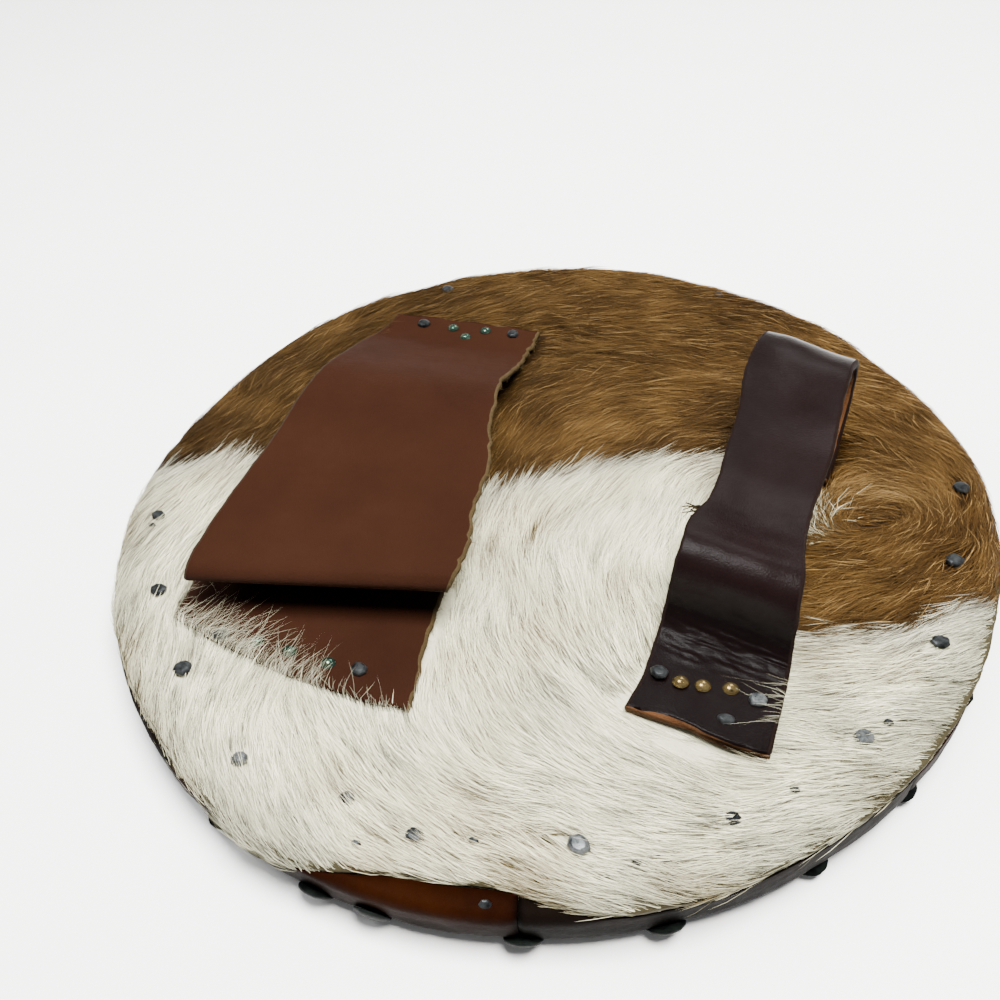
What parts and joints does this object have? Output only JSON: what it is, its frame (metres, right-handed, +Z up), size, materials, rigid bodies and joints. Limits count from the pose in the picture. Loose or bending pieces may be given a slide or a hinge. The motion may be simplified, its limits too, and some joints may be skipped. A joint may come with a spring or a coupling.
{
  "type": "hide shield",
  "caption": "Round hide-backed wooden shield of the targe kind, lying on its leather face, with a wide arm strap, a looped hand strap and iron nails and studs.",
  "frame": {"origin": "on the floor under the middle of the shield as it lies on its face", "axes": "+Z up, away from the face; +Y along the arm strap, from its folded end to its flat end; +X from the arm strap to the hand strap"},
  "size_m": [0.4816, 0.4868, 0.075],
  "materials": {
    "board": "plain sawn boards, covered",
    "tan_leather": "smooth vegetable-tanned leather, waxed, darker towards its seams",
    "dark_leather": "smooth dark brown leather, waxed and scuffed",
    "hide": "hair-on cow hide, cream white with a large brown patch",
    "arm_leather": "smooth reddish brown leather with fine grain and raw cut edges",
    "hand_leather": "dark purple-brown satin leather with an orange-brown fibrous flesh side",
    "iron": "blackened iron, hammered, worn bright on some heads"
  },
  "bodies": {
    "root": {"arm_nail_1": "iron", "arm_nail_2": "iron", "arm_nail_3": "iron", "arm_nail_4": "iron", "arm_strap": "arm_leather", "back_hide": "hide", "back_nail_01": "iron", "back_nail_02": "iron", "back_nail_03": "iron", "back_nail_04": "iron", "back_nail_05": "iron", "back_nail_06": "iron", "back_nail_07": "iron", "back_nail_08": "iron", "back_nail_09": "iron", "back_nail_10": "iron", "back_nail_11": "iron", "back_nail_12": "iron", "back_nail_13": "iron", "back_nail_14": "iron", "face_panel_1": "tan_leather", "face_panel_2": "dark_leather", "face_panel_3": "tan_leather", "face_panel_4": "dark_leather", "face_panel_5": "tan_leather", "face_panel_6": "dark_leather", "face_panel_7": "tan_leather", "face_panel_8": "dark_leather", "face_stud_01": "iron", "face_stud_02": "iron", "face_stud_03": "iron", "face_stud_04": "iron", "face_stud_05": "iron", "face_stud_06": "iron", "face_stud_07": "iron", "face_stud_08": "iron", "face_stud_09": "iron", "face_stud_10": "iron", "face_stud_11": "iron", "face_stud_12": "iron", "face_stud_13": "iron", "face_stud_14": "iron", "face_stud_15": "iron", "face_stud_16": "iron", "face_stud_17": "iron", "face_stud_18": "iron", "face_stud_19": "iron", "face_stud_20": "iron", "face_stud_21": "iron", "face_stud_22": "iron", "face_stud_23": "iron", "face_stud_24": "iron", "hand_nail_1": "iron", "hand_nail_2": "iron", "hand_nail_3": "iron", "hand_nail_4": "iron", "hand_nail_5": "iron", "hand_strap": "hand_leather", "wooden_board": "board"}
  },
  "joints": []
}
